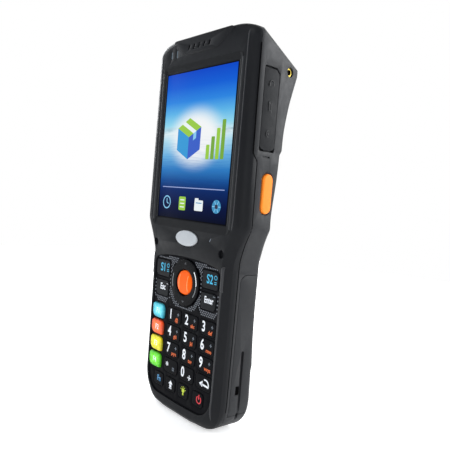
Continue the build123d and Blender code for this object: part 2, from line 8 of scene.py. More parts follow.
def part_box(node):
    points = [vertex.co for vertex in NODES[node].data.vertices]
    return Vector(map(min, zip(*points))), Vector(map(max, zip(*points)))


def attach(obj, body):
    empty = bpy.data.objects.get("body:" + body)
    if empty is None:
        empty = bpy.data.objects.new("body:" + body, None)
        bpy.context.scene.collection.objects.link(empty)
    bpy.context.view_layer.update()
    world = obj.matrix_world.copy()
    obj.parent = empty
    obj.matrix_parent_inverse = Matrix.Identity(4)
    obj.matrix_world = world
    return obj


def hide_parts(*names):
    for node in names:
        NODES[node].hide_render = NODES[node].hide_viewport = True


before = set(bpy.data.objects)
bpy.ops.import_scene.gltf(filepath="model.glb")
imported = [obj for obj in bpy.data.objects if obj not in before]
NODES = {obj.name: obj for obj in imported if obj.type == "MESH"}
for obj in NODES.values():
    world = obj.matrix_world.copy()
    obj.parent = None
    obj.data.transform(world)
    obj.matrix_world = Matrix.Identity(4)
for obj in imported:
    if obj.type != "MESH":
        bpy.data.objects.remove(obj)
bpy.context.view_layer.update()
YD = -0.0131867          # from the drawing's y (0 at the display plane) to the row's y
MM = 0.001


def V(x, y, z):
    """Drawing millimetres to row metres."""
    return Vector((x * MM, y * MM + YD, z * MM))


# ------------------------------------------------------------------ materials
def srgb(r, g, b):
    """Display values 0-255 to linear."""
    out = []
    for c in (r, g, b):
        c /= 255.0
        out.append(c / 12.92 if c <= 0.04045 else ((c + 0.055) / 1.055) ** 2.4)
    return (*out, 1.0)


class Mat:
    """A small helper round one node material."""

    def __init__(self, name):
        self.m = bpy.data.materials.new(name)
        self.m.use_nodes = True
        self.n = self.m.node_tree.nodes
        self.l = self.m.node_tree.links
        self.b = self.n["Principled BSDF"]
        self.co = self.n.new("ShaderNodeTexCoord")

    def node(self, kind, **props):
        x = self.n.new(kind)
        for k, v in props.items():
            setattr(x, k, v)
        return x

    def link(self, a, b):
        self.l.new(a, b)

    def math(self, op, a, b=None, c=None, clamp=False):
        x = self.node("ShaderNodeMath", operation=op, use_clamp=clamp)
        for i, v in enumerate((a, b, c)):
            if v is None:
                continue
            if isinstance(v, (int, float)):
                x.inputs[i].default_value = v
            else:
                self.link(v, x.inputs[i])
        return x.outputs[0]

    def noise(self, scale, detail=2.0, rough=0.5, vector=None, stretch=None):
        x = self.node("ShaderNodeTexNoise")
        x.inputs["Scale"].default_value = scale
        x.inputs["Detail"].default_value = detail
        x.inputs["Roughness"].default_value = rough
        v = vector or self.co.outputs["Object"]
        if stretch:
            mp = self.node("ShaderNodeMapping")
            mp.inputs["Scale"].default_value = stretch
            self.link(v, mp.inputs["Vector"])
            v = mp.outputs[0]
        self.link(v, x.inputs["Vector"])
        return x.outputs["Fac"]

    def remap(self, value, a, b, lo=0.3, hi=0.7):
        x = self.node("ShaderNodeMapRange")
        x.inputs["From Min"].default_value = lo
        x.inputs["From Max"].default_value = hi
        x.inputs["To Min"].default_value = a
        x.inputs["To Max"].default_value = b
        self.link(value, x.inputs["Value"])
        return x.outputs["Result"]

    def mix(self, fac, a, b):
        x = self.node("ShaderNodeMix", data_type="RGBA")
        for sock, v in ((x.inputs[0], fac), (x.inputs[6], a), (x.inputs[7], b)):
            if isinstance(v, (int, float)):
                sock.default_value = v
            elif isinstance(v, tuple):
                sock.default_value = v
            else:
                self.link(v, sock)
        return x.outputs[2]

    def bump(self, height, strength, distance, normal=None):
        x = self.node("ShaderNodeBump")
        x.inputs["Strength"].default_value = strength
        x.inputs["Distance"].default_value = distance
        self.link(height, x.inputs["Height"])
        if normal is not None:
            self.link(normal, x.inputs["Normal"])
        return x.outputs["Normal"]


def shade(c, k):
    return (min(c[0] * k, 1.0), min(c[1] * k, 1.0), min(c[2] * k, 1.0), 1.0)


def plastic(name, colour, rough=0.5, grain=2600.0, depth=0.00003, strength=0.25, spec=0.35, var=0.10, metal=0.0, coat=0.0, sheen=0.0):
    """Moulded plastic, rubber or satin metal: cloudy tone, fine moulded grain, uneven gloss."""
    w = Mat(name)
    cloud = w.noise(55.0, 3.0)
    fine = w.noise(grain, 3.0, 0.6)
    c = w.mix(w.remap(cloud, 0.0, 1.0), shade(colour, 1 - var), shade(colour, 1 + var))
    c = w.mix(w.remap(fine, 0.0, 1.0, 0.35, 0.65), shade(colour, 1 - 0.5 * var), c)
    w.link(c, w.b.inputs["Base Color"])
    w.link(w.remap(w.noise(420.0, 2.0), rough - 0.05, rough + 0.05), w.b.inputs["Roughness"])
    w.link(w.bump(fine, strength, depth), w.b.inputs["Normal"])
    w.b.inputs["Metallic"].default_value = metal
    w.b.inputs["Specular IOR Level"].default_value = spec
    w.b.inputs["Coat Weight"].default_value = coat
    w.b.inputs["Coat Roughness"].default_value = 0.12
    if sheen:
        w.b.inputs["Sheen Weight"].default_value = sheen
        w.b.inputs["Sheen Roughness"].default_value = 0.5
    return w.m


def brushed(name, colour, rough=0.32, stretch=(60.0, 60.0, 4.0)):
    """Metal with fine brush lines along Z."""
    w = Mat(name)
    lines = w.noise(300.0, 3.0, 0.6, stretch=stretch)
    w.link(w.mix(w.remap(lines, 0.0, 1.0), shade(colour, 0.82), shade(colour, 1.12)), w.b.inputs["Base Color"])
    w.link(w.remap(lines, rough - 0.08, rough + 0.1), w.b.inputs["Roughness"])
    w.link(w.bump(lines, 0.15, 0.00002), w.b.inputs["Normal"])
    w.b.inputs["Metallic"].default_value = 1.0
    return w.m


def board(name):
    """Circuit board with solder mask, tracks and pads."""
    w = Mat(name)
    v = w.node("ShaderNodeTexVoronoi", distance="MANHATTAN")
    v.inputs["Scale"].default_value = 330.0
    w.link(w.co.outputs["Object"], v.inputs["Vector"])
    tracks = w.remap(v.outputs["Distance"], 0.0, 1.0, 0.30, 0.36)
    pads = w.math("LESS_THAN", v.outputs["Distance"], 0.11)
    c = w.mix(tracks, (0.010, 0.085, 0.030, 1), (0.018, 0.14, 0.05, 1))
    c = w.mix(pads, c, (0.62, 0.46, 0.16, 1))
    w.link(c, w.b.inputs["Base Color"])
    w.link(w.remap(w.noise(900.0), 0.28, 0.42), w.b.inputs["Roughness"])
    w.link(w.bump(v.outputs["Distance"], 0.2, 0.00004), w.b.inputs["Normal"])
    return w.m


def lit(name, colour, strength=1.0):
    """A lit patch of the display, with a faint pixel structure."""
    w = Mat(name)
    v = w.noise(9000.0, 1.0)
    c = w.mix(w.remap(v, 0.0, 1.0), shade(colour, 0.93), shade(colour, 1.04))
    w.b.inputs["Base Color"].default_value = (0, 0, 0, 1)
    w.link(c, w.b.inputs["Emission Color"])
    w.b.inputs["Emission Strength"].default_value = strength
    w.b.inputs["Roughness"].default_value = 0.2
    w.b.inputs["Specular IOR Level"].default_value = 0.2
    return w.m


def ink(name, colour, rough=0.45):
    """Printed legend: slightly uneven ink."""
    w = Mat(name)
    v = w.noise(1800.0, 2.0)
    w.link(w.mix(w.remap(v, 0.0, 1.0), shade(colour, 0.9), shade(colour, 1.05)), w.b.inputs["Base Color"])
    w.link(w.remap(w.noise(700.0), rough - 0.06, rough + 0.06), w.b.inputs["Roughness"])
    w.link(w.bump(v, 0.1, 0.00001), w.b.inputs["Normal"])
    w.b.inputs["Specular IOR Level"].default_value = 0.3
    return w.m


def key_colour_with_painted_light(name, colour, pale):
    """Glossy key cap with painted light: a painted highlight pales its raised middle, painted shade deepens the rim,
    and pale noise patches are painted glints.
    """
    w = Mat(name)
    sep = w.node("ShaderNodeSeparateXYZ")
    w.link(w.co.outputs["Generated"], sep.inputs[0])
    dx = w.math("MULTIPLY", w.math("ABSOLUTE", w.math("SUBTRACT", sep.outputs[0], 0.5)), 2.0)
    dz = w.math("MULTIPLY", w.math("ABSOLUTE", w.math("SUBTRACT", sep.outputs[2], 0.5)), 2.0)
    r = w.math("MAXIMUM", dx, dz)
    # painted highlight: pale in the middle, the cap colour towards the rim
    c = w.mix(w.remap(r, 0.0, 1.0, 0.30, 0.80), pale, colour)
    # painted shade: the rim darkened to 0.30 of the colour
    c = w.mix(w.remap(r, 0.0, 0.8, 0.84, 1.0), c, shade(colour, 0.30))
    # painted glints: pale patches from noise
    c = w.mix(w.remap(w.noise(150.0), 0.0, 0.35), c, pale)
    w.link(c, w.b.inputs["Base Color"])
    w.link(w.remap(w.noise(500.0), 0.22, 0.32), w.b.inputs["Roughness"])
    w.link(w.bump(w.noise(900.0), 0.08, 0.00002), w.b.inputs["Normal"])
    w.b.inputs["Subsurface Weight"].default_value = 0.15
    w.b.inputs["Subsurface Scale"].default_value = 0.001
    w.b.inputs["Specular IOR Level"].default_value = 0.25
    w.b.inputs["Coat Weight"].default_value = 0.08
    w.b.inputs["Coat Roughness"].default_value = 0.12
    return w.m


def display():
    """Glass over a lit picture: a plain sky, glow, horizon and water in blues, with a black border."""
    w = Mat("display_picture")
    sep = w.node("ShaderNodeSeparateXYZ")
    w.link(w.co.outputs["Object"], sep.inputs[0])
    x, y, z = sep.outputs
    u = w.math("DIVIDE", w.math("ADD", x, 0.02667), 0.05334)
    v = w.math("DIVIDE", w.math("SUBTRACT", z, 0.0961), 0.0711)
    ramp = w.node("ShaderNodeValToRGB")
    e = ramp.color_ramp.elements
    stops = [(0.0, (3, 10, 36)), (0.10, (5, 20, 66)), (0.20, (8, 42, 104)), (0.26, (20, 78, 150)), (0.34, (48, 128, 200)),
             (0.43, (108, 182, 232)), (0.53, (176, 226, 246)), (0.585, (226, 246, 252)), (0.64, (150, 222, 246)),
             (0.72, (96, 186, 240)), (0.80, (46, 138, 232)), (0.90, (18, 98, 220)), (1.0, (10, 74, 206))]
    e[0].position, e[0].color = stops[0][0], srgb(*stops[0][1])
    e[1].position, e[1].color = stops[-1][0], srgb(*stops[-1][1])
    for pos, col in stops[1:-1]:
        el = e.new(pos)
        el.color = srgb(*col)
    w.link(v, ramp.inputs[0])
    # glow behind the middle
    du = w.math("DIVIDE", w.math("SUBTRACT", u, 0.50), 0.47)
    dv = w.math("DIVIDE", w.math("SUBTRACT", v, 0.55), 0.245)
    rr = w.math("SQRT", w.math("ADD", w.math("MULTIPLY", du, du), w.math("MULTIPLY", dv, dv)))
    glow = w.node("ShaderNodeMapRange", interpolation_type="SMOOTHERSTEP")
    glow.inputs["From Min"].default_value = 1.05
    glow.inputs["From Max"].default_value = 0.35
    w.link(rr, glow.inputs["Value"])
    c = w.mix(glow.outputs[0], ramp.outputs["Color"], srgb(252, 254, 255))
    # water streaks below the horizon and thin cloud over it
    streak = w.noise(1.0, 3.0, 0.55, stretch=(90.0, 1.0, 1500.0))
    under = w.math("MULTIPLY", w.remap(v, 1.0, 0.0, 0.40, 0.585), w.remap(v, 0.0, 1.0, 0.20, 0.36))
    c = w.mix(w.math("MULTIPLY", under, w.remap(streak, 0.0, 0.42, 0.45, 0.75)), c, srgb(40, 110, 196))
    cloud = w.noise(1.0, 4.0, 0.6, stretch=(55.0, 1.0, 330.0))
    far = w.math("MULTIPLY", w.remap(rr, 0.0, 1.0, 0.55, 1.0), w.remap(w.math("ABSOLUTE", w.math("SUBTRACT", v, 0.60)), 1.0, 0.0, 0.004, 0.035))
    c = w.mix(w.math("MULTIPLY", far, w.remap(cloud, 0.0, 0.75, 0.45, 0.62)), c, srgb(120, 160, 178))
    # lit area only, on the front face
    inside = w.math("MULTIPLY", w.math("LESS_THAN", w.math("ABSOLUTE", x), 0.02667),
                    w.math("MULTIPLY", w.math("GREATER_THAN", z, 0.0961), w.math("LESS_THAN", z, 0.1672)))
    inside = w.math("MULTIPLY", inside, w.math("LESS_THAN", y, YD - 0.0004))
    c = w.mix(inside, (0, 0, 0, 1), c)
    hx = w.math("SUBTRACT", w.math("ABSOLUTE", x), 0.02667)
    hz = w.math("SUBTRACT", w.math("ABSOLUTE", w.math("SUBTRACT", z, 0.13165)), 0.03555)
    away = w.math("MAXIMUM", hx, hz)
    line = w.remap(away, 0.0, 1.0, 0.00035, 0.00075)
    w.link(w.mix(line, (0.0025, 0.0025, 0.003, 1), (0.0165, 0.0175, 0.0195, 1)), w.b.inputs["Base Color"])
    w.link(c, w.b.inputs["Emission Color"])
    w.b.inputs["Emission Strength"].default_value = 0.92
    smear = w.noise(140.0, 3.0)
    w.link(w.remap(smear, 0.16, 0.24), w.b.inputs["Roughness"])
    w.b.inputs["Specular IOR Level"].default_value = 0.008
    return w.m


M = {
    "front": plastic("front_plastic", (0.0078, 0.0084, 0.0100, 1), 0.46, spec=0.11),
    "side": plastic("rear_plastic", (0.0150, 0.0157, 0.0178, 1), 0.50, spec=0.24),
    "cover": plastic("cover_plastic", (0.0146, 0.0153, 0.0174, 1), 0.52, spec=0.24),
    "latch": plastic("latch_plastic", (0.0130, 0.0135, 0.0150, 1), 0.5, spec=0.18),
    "panel": plastic("panel_plastic", (0.0027, 0.0029, 0.0042, 1), 0.42, grain=1500.0, spec=0.03),
    "key": plastic("key_plastic", (0.0029, 0.0032, 0.0044, 1), 0.40, grain=1800.0, spec=0.035),
    "keyfn": plastic("key_plastic_large", (0.0052, 0.0064, 0.0082, 1), 0.38, grain=1800.0, spec=0.08),
    "nav": plastic("ring_gloss", (0.0018, 0.0020, 0.0028, 1), 0.28, grain=500.0, strength=0.05, spec=0.05),
    "scan": plastic("scan_key_orange", srgb(238, 92, 8), 0.36, grain=900.0, strength=0.06, spec=0.10, var=0.04),
    "button": plastic("side_button_orange", srgb(248, 132, 30), 0.50, grain=1600.0, strength=0.12, spec=0.25, var=0.04),
    "flap": plastic("flap_rubber", (0.0100, 0.0106, 0.0122, 1), 0.60, grain=3200.0, spec=0.14, sheen=0.01),
    "rubber": plastic("soft_black", (0.004, 0.004, 0.0045, 1), 0.75, spec=0.1),
    # near-black used for painted shade: strips and plates put where the joint and the notches lie in shadow
    "shade_black": plastic("painted_shade_black", (0.0008, 0.0008, 0.0010, 1), 0.8, spec=0.02),
    "dark": plastic("socket_plastic", (0.004, 0.004, 0.0045, 1), 0.5, spec=0.2),
    "badge": plastic("badge_silver", (0.37, 0.39, 0.41, 1), 0.36, grain=1400.0, strength=0.10, spec=0.5, metal=0.35, var=0.05),
    "led": plastic("light_pipe", srgb(60, 76, 87), 0.30, grain=700.0, strength=0.05, spec=0.3, coat=0.1),
    "steel": brushed("steel", (0.56, 0.57, 0.58, 1)),
    "brass": brushed("brass", (0.33, 0.25, 0.05, 1), 0.34, (4.0, 60.0, 60.0)),
    "gold": brushed("contact_gold", (0.82, 0.58, 0.20, 1), 0.25),
    "module": brushed("module_metal", (0.42, 0.43, 0.45, 1), 0.4),
    "board": board("board"),
    "mat": plastic("silicone", (0.06, 0.06, 0.065, 1), 0.6, spec=0.2),
    "cell": plastic("cell_wrap", (0.035, 0.040, 0.050, 1), 0.42, grain=900.0, spec=0.3),
    "window": plastic("scan_glass", (0.016, 0.001, 0.0016, 1), 0.10, grain=300.0, strength=0.01, spec=0.5, coat=0.4),
    "white": ink("ink_white", srgb(226, 230, 236)),
    "cyan": ink("ink_cyan", srgb(52, 168, 206)),
    "orange": ink("ink_orange", srgb(214, 96, 40)),
    "blue": ink("ink_blue", srgb(84, 156, 210)),
    "lime": ink("ink_lime", srgb(186, 204, 56)),
    "red": ink("ink_red", srgb(214, 52, 62)),
    "grey": ink("ink_grey", srgb(112, 120, 130)),
    "chrome": brushed("chrome_inlay", (0.62, 0.63, 0.65, 1), 0.16),
    # dim metal for the case screws, also a shaded copy of the chrome inlay: painted shade on the ring's dim arcs
    "screw_metal_and_inlay_shade": brushed("dim_metal_and_inlay_shade", (0.17, 0.18, 0.19, 1), 0.22),
    "ringmark": ink("ring_mark", (0.035, 0.038, 0.044, 1)),
    # lighter orange of the centre key: painted highlight on its creases
    "scan_crease_highlight": plastic("scan_key_crease_highlight", srgb(255, 150, 84), 0.30, grain=900.0, strength=0.05, spec=0.35, var=0.04),
    # panel dots: light grey standing partly for the dots' own tone and partly as painted highlight on them
    "dots": plastic("panel_dots", (0.13, 0.14, 0.16, 1), 0.34, spec=0.4),
    "glass": display(),
    "kcyan": key_colour_with_painted_light("cap_cyan", srgb(24, 150, 176), srgb(112, 232, 240)),
    "korange": key_colour_with_painted_light("cap_orange", srgb(224, 66, 10), srgb(250, 124, 50)),
    "kyellow": key_colour_with_painted_light("cap_yellow", srgb(206, 196, 6), srgb(240, 234, 44)),
    "kgreen": key_colour_with_painted_light("cap_green", srgb(60, 184, 10), srgb(128, 240, 50)),
}
FINISH = {
    "front_housing": "front", "rear_housing": "side", "battery_cover": "cover", "battery_latch": "latch",
    "port_cover": "flap", "housing_seal": "rubber", "keypad_bezel": "panel", "display_glass": "glass",
    "lcd_module": "module", "keypad_mat": "mat", "keypad_board": "board", "key_domes": "steel", "badge_plate": "badge",
    "led_windows": "led", "earpiece": "dark", "microphone": "steel", "scan_window": "window", "scan_engine": "module",
    "main_board": "board", "shield_can": "steel", "usb_socket": "steel", "audio_jack": "dark", "power_jack": "dark",
    "side_switches": "dark", "battery_terminals": "dark", "thread_inserts": "brass", "case_screws": "screw_metal_and_inlay_shade",
    "dock_contacts": "gold", "battery_pack": "cell", "side_button_right": "button", "side_button_left": "button",
    "nav_carrier": "dark", "nav_ring": "nav", "scan_key": "scan", "key_cyan": "kcyan", "key_orange": "korange",
    "key_yellow": "kyellow", "key_green": "kgreen", "key_s1": "keyfn", "key_s2": "keyfn", "key_esc": "keyfn",
    "key_enter": "keyfn",
}


def smooth_group():
    """Shades smooth, and keeps edges sharper than an angle sharp."""
    g = bpy.data.node_groups.new("smooth_by_angle", "GeometryNodeTree")
    g.interface.new_socket("Geometry", in_out="INPUT", socket_type="NodeSocketGeometry")
    g.interface.new_socket("Geometry", in_out="OUTPUT", socket_type="NodeSocketGeometry")
    a, b = g.nodes.new("NodeGroupInput"), g.nodes.new("NodeGroupOutput")
    ang = g.nodes.new("GeometryNodeInputMeshEdgeAngle")
    cmp = g.nodes.new("FunctionNodeCompare")
    cmp.data_type, cmp.operation = "FLOAT", "LESS_THAN"
    cmp.inputs[1].default_value = math.radians(28)
    s1 = g.nodes.new("GeometryNodeSetShadeSmooth")
    s1.domain = "FACE"
    s2 = g.nodes.new("GeometryNodeSetShadeSmooth")
    s2.domain = "EDGE"
    g.links.new(a.outputs[0], s1.inputs[0])
    g.links.new(ang.outputs["Unsigned Angle"], cmp.inputs[0])
    g.links.new(s1.outputs[0], s2.inputs[0])
    g.links.new(cmp.outputs[0], s2.inputs["Shade Smooth"])
    g.links.new(s2.outputs[0], b.inputs[0])
    return g


SMOOTH = smooth_group()
BEVEL = {"front_housing": 0.16, "rear_housing": 0.16, "battery_cover": 0.16, "battery_latch": 0.15, "port_cover": 0.18,
         "keypad_bezel": 0.10, "nav_ring": 0.15, "badge_plate": 0.12, "display_glass": 0.10, "scan_window": 0.12,
         "battery_pack": 0.3, "side_button_right": 0.15, "side_button_left": 0.15}


def finish_mesh(o, bevel):
    m = o.modifiers.new("weld", "WELD")
    m.merge_threshold = 0.000004
    if bevel:
        m = o.modifiers.new("bevel", "BEVEL")
        m.width = bevel * MM
        m.segments = 2
        m.limit_method = "ANGLE"
        m.angle_limit = math.radians(32)
        m.use_clamp_overlap = True
        m.miter_outer = "MITER_ARC"
    m = o.modifiers.new("smooth", "NODES")
    m.node_group = SMOOTH


for name, o in NODES.items():
    key = FINISH.get(name, "key" if name.startswith("key_") else "dark")
    o.data.materials.clear()
    o.data.materials.append(M[key])
    for attr in ("custom_normal",):
        if attr in o.data.attributes:
            o.data.attributes.remove(o.data.attributes[attr])
    finish_mesh(o, BEVEL.get(name, 0.1 if name.startswith("key_") and name != "key_domes" else 0.0))


# ------------------------------------------------------------------ drawing flat shapes
class Art:
    """Thin raised shapes on a plane: origin, the two directions in it and the way out."""

    def __init__(self, name, origin, right, up, thick):
        self.name, self.bm, self.mats = name, bmesh.new(), []
        self.o, self.r, self.u = Vector(origin), Vector(right).normalized(), Vector(up).normalized()
        self.out = self.r.cross(self.u)
        self.t = thick * MM

    def slot_of(self, mat):
        if mat not in self.mats:
            self.mats.append(mat)
        return self.mats.index(mat)

    def at(self, x, y, h):
        return self.o + self.r * (x * MM) + self.u * (y * MM) + self.out * h

    def poly(self, pts, mat, base=0.0):
        """Closed outline, counter-clockwise, in mm."""
        area = sum(a[0] * b[1] - b[0] * a[1] for a, b in zip(pts, pts[1:] + pts[:1]))
        if area < 0:
            pts = pts[::-1]
        i = self.slot_of(mat)
        low = [self.bm.verts.new(self.at(x, y, base * MM)) for x, y in pts]
        top = [self.bm.verts.new(self.at(x, y, base * MM + self.t)) for x, y in pts]
        faces = [self.bm.faces.new(top), self.bm.faces.new(low[::-1])]
        n = len(pts)
        for k in range(n):
            faces.append(self.bm.faces.new((low[k], low[(k + 1) % n], top[(k + 1) % n], top[k])))
        for f in faces:
            f.material_index = i

    def disc(self, cx, cy, r, mat, n=28, rx=None, base=0.0):
        rx = rx or r
        self.poly([(cx + rx * math.cos(2 * math.pi * k / n), cy + r * math.sin(2 * math.pi * k / n)) for k in range(n)], mat, base)

    def arc(self, cx, cy, r0, r1, a0, a1, mat, n=24, base=0.0):
        """Ring sector from angle a0 to a1 in degrees; a full turn is closed by two halves."""
        if a1 - a0 > 350:
            self.arc(cx, cy, r0, r1, a0, a0 + 180, mat, n, base)
            self.arc(cx, cy, r0, r1, a0 + 180, a0 + 360, mat, n, base)
            return
        aa = [math.radians(a0 + (a1 - a0) * k / n) for k in range(n + 1)]
        i = self.slot_of(mat)
        rows = []
        for h in (base * MM, base * MM + self.t):
            rows.append([[self.bm.verts.new(self.at(cx + r * math.cos(a), cy + r * math.sin(a), h)) for a in aa] for r in (r0, r1)])
        (li, lo), (ti, to) = rows
        made = []
        for k in range(n):
            made.append((ti[k], to[k], to[k + 1], ti[k + 1]))
            made.append((li[k], li[k + 1], lo[k + 1], lo[k]))
            made.append((lo[k], lo[k + 1], to[k + 1], to[k]))
            made.append((li[k], ti[k], ti[k + 1], li[k + 1]))
        made.append((li[0], lo[0], to[0], ti[0]))
        made.append((li[n], ti[n], to[n], lo[n]))
        for q in made:
            self.bm.faces.new(q).material_index = i

    def bar(self, x0, y0, x1, y1, w, mat, base=0.0):
        """Straight stroke with square ends."""
        d = Vector((x1 - x0, y1 - y0))
        n = Vector((-d.y, d.x)).normalized() * (w / 2)
        self.poly([(x0 - n.x, y0 - n.y), (x1 - n.x, y1 - n.y), (x1 + n.x, y1 + n.y), (x0 + n.x, y0 + n.y)], mat, base)

    def rrect(self, cx, cy, w, h, r, mat, n=6, base=0.0):
        pts = []
        for sx, sy, a in ((1, -1, -90), (1, 1, 0), (-1, 1, 90), (-1, -1, 180)):
            for k in range(n + 1):
                t = math.radians(a + 90 * k / n)
                pts.append((cx + sx * (w / 2 - r) + r * math.cos(t), cy + sy * (h / 2 - r) + r * math.sin(t)))
        self.poly(pts, mat, base)

    def text(self, s, cx, cy, height, mat, squeeze=1.0, bold=0.0, align="CENTER", lean=0.0, base=0.0):
        """Plain built-in lettering; height is the capital height in mm."""
        cu = bpy.data.curves.new("t", "FONT")
        cu.body = s
        cu.align_x, cu.align_y = align, "CENTER"
        cu.size = 1.0
        cu.offset = bold
        cu.extrude = 0.5
        cu.shear = lean
        cu.resolution_u = 4
        ob = bpy.data.objects.new("t", cu)
        bpy.context.scene.collection.objects.link(ob)
        bpy.context.view_layer.update()
        me = bpy.data.meshes.new_from_object(ob.evaluated_get(bpy.context.evaluated_depsgraph_get()))
        k = height / 0.69
        i = self.slot_of(mat)
        vs = [self.bm.verts.new(self.at(cx + v.co.x * k * squeeze, cy + v.co.y * k, base * MM + (v.co.z + 0.5) * self.t)) for v in me.vertices]
        for p in me.polygons:
            try:
                self.bm.faces.new([vs[q] for q in p.vertices]).material_index = i
            except ValueError:
                pass
        bpy.data.objects.remove(ob)
        bpy.data.curves.remove(cu)
        bpy.data.meshes.remove(me)

    def done(self, body, slot=None):
        bmesh.ops.remove_doubles(self.bm, verts=self.bm.verts, dist=1e-8)
        bmesh.ops.recalc_face_normals(self.bm, faces=self.bm.faces)
        me = bpy.data.meshes.new(self.name)
        self.bm.to_mesh(me)
        self.bm.free()
        for m in self.mats:
            me.materials.append(M[m])
        ob = bpy.data.objects.new(self.name, me)
        bpy.context.scene.collection.objects.link(ob)
        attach(ob, body)
        return ob


def front_art(name, x, y_top, z, thick=0.05, lift=0.0):
    return Art(name, V(x, y_top - lift, z), (1, 0, 0), (0, 0, 1), thick)


# ------------------------------------------------------------------ key legends
COL_X = (-6.57, 6.57, 19.7)
ROW_Z = (48.1, 39.71, 31.32, 22.93)
SUB = {"1": ".@", "2": "abc", "3": "def", "4": "ghi", "5": "jkl", "6": "mno", "7": "pqrs", "8": "tuv", "9": "wxyz"}
for row in range(3):
    for col in range(3):
        d = str(1 + row * 3 + col)
        a = front_art("legend_" + d, COL_X[col], 0.0, ROW_Z[row], lift=-0.01)
        a.text(d, -2.9, 0.2, 4.6, "white", squeeze=0.80, bold=0.022)
        a.text(SUB[d], 2.0, -1.75, 1.75, "orange", squeeze=0.86, bold=0.02)
        a.bar(3.2, 0.4, 3.2, 1.9, 0.38, "grey")
        a.bar(2.5, 1.15, 3.9, 1.15, 0.32, "grey")
        a.done("key_" + d, "key_black")
a = front_art("legend_star", COL_X[0], 0.0, ROW_Z[3], lift=-0.01)
for k in range(3):
    t = math.radians(60 * k + 30)
    a.bar(-2.9 - 1.1 * math.cos(t), 0.5 - 1.1 * math.sin(t), -2.9 + 1.1 * math.cos(t), 0.5 + 1.1 * math.sin(t), 0.5, "white")
for k in (-0.45, 0.45):
    a.bar(2.4 + k, -1.9, 2.4 + k, -0.1, 0.26, "grey")
    a.bar(1.5, -1.0 + k, 3.3, -1.0 + k, 0.26, "grey")
a.done("key_star", "key_black")
a = front_art("legend_0", COL_X[1], 0.0, ROW_Z[3], lift=-0.01)
a.text("0", -2.9, 0.2, 4.6, "white", squeeze=0.80, bold=0.022)
a.bar(2.5, -2.3, 2.5, 0.1, 0.55, "white")
a.bar(1.3, -1.1, 3.7, -1.1, 0.55, "white")
a.done("key_0", "key_black")
a = front_art("legend_back", COL_X[2], 0.0, ROW_Z[3], lift=-0.01)
a.arc(1.6, -0.5, 1.9, 2.6, 0, 118, "white")
a.bar(3.85, -0.5, 3.85, -1.0, 0.7, "white")
a.bar(-1.2, -0.75, 4.0, -1.15, 0.85, "white")
a.poly([(-2.9, -0.7), (-0.5, -2.1), (-0.4, 0.9)], "white")
a.done("key_back", "key_black")
for name, x, z, s, mat, dx in (("s1", -18.9, 70.2, "S1", "cyan", 0.0), ("s2", 18.9, 70.2, "S2", "cyan", 0.0)):
    a = front_art("legend_" + name, x, -0.1, z, lift=-0.01)
    dx += 1.3 if name == "s1" else 1.0
    a.text(s, -1.2 + dx, 0.2, 4.0, mat, squeeze=0.84, bold=0.016)
    a.arc(2.9 + dx, 1.6, 0.75, 1.05, 0, 360, mat, 14)
    a.bar(2.1 + dx, -1.3, 3.7 + dx, -1.3, 0.34, mat)
    a.bar(2.1 + dx, -0.5, 3.7 + dx, -0.5, 0.34, mat)
    a.done("key_" + name, "key_black")
a = front_art("legend_esc", -18.6, -0.1, 60.2, lift=-0.01)
a.text("Esc", 0.6, 0.5, 3.0, "white", squeeze=0.80, bold=0.022)
a.bar(3.7, 2.4, 4.6, 2.4, 0.3, "white")
a.done("key_esc", "key_black")
a = front_art("legend_enter", 18.6, -0.1, 60.2, lift=-0.01)
a.text("Enter", 0.45, 0.6, 2.9, "white", squeeze=0.70, bold=0.022)
a.bar(3.2, 2.9, 4.6, 2.9, 0.28, "grey")
a.done("key_enter", "key_black")
for name, z, s in zip(("cyan", "orange", "yellow", "green"), ROW_Z, ("F1", "F2", "F3", "F4")):
    a = front_art("legend_" + name, -20.15, -0.55, z, lift=-0.01)
    a.text(s, 0.1, -0.1, 2.5, "white", squeeze=0.85, bold=0.012)
    a.done("key_" + name, "key_" + name)
a = front_art("legend_fn", -15.8, 0.0, 14.1, lift=-0.01)
a.text("Fn", 0.2, 0.0, 2.7, "blue", squeeze=0.82, bold=0.02)
a.done("key_fn", "key_black")
a = front_art("legend_shift", -5.5, 0.0, 14.1, lift=-0.01)
a.poly([(0.2, 2.0), (-1.5, 0.2), (1.9, 0.2)], "white")
a.rrect(0.2, -0.7, 1.6, 1.5, 0.2, "white")
a.bar(-0.9, -1.9, 1.3, -1.9, 0.4, "white")
a.done("key_shift", "key_black")
a = front_art("legend_light", 5.0, 0.0, 14.1, lift=-0.01)
a.disc(0.2, 0.4, 1.05, "lime", 20)
a.rrect(0.2, -1.25, 1.0, 1.0, 0.2, "lime")
for k in range(5):
    t = math.radians(18 + 36 * k)
    a.bar(0.2 + 1.45 * math.cos(t), 0.4 + 1.45 * math.sin(t), 0.2 + 2.1 * math.cos(t), 0.4 + 2.1 * math.sin(t), 0.28, "lime")
a.done("key_light", "key_black")
a = front_art("legend_power", 16.4, 0.0, 14.1, lift=-0.01)
a.arc(1.0, 0.1, 1.35, 1.85, 125, 415, "red", 26)
a.bar(1.0, 0.3, 1.0, 2.5, 0.52, "red")
a.done("key_power", "key_black")

# ------------------------------------------------------------------ four-way ring and centre key
NAV_Z = 65.8
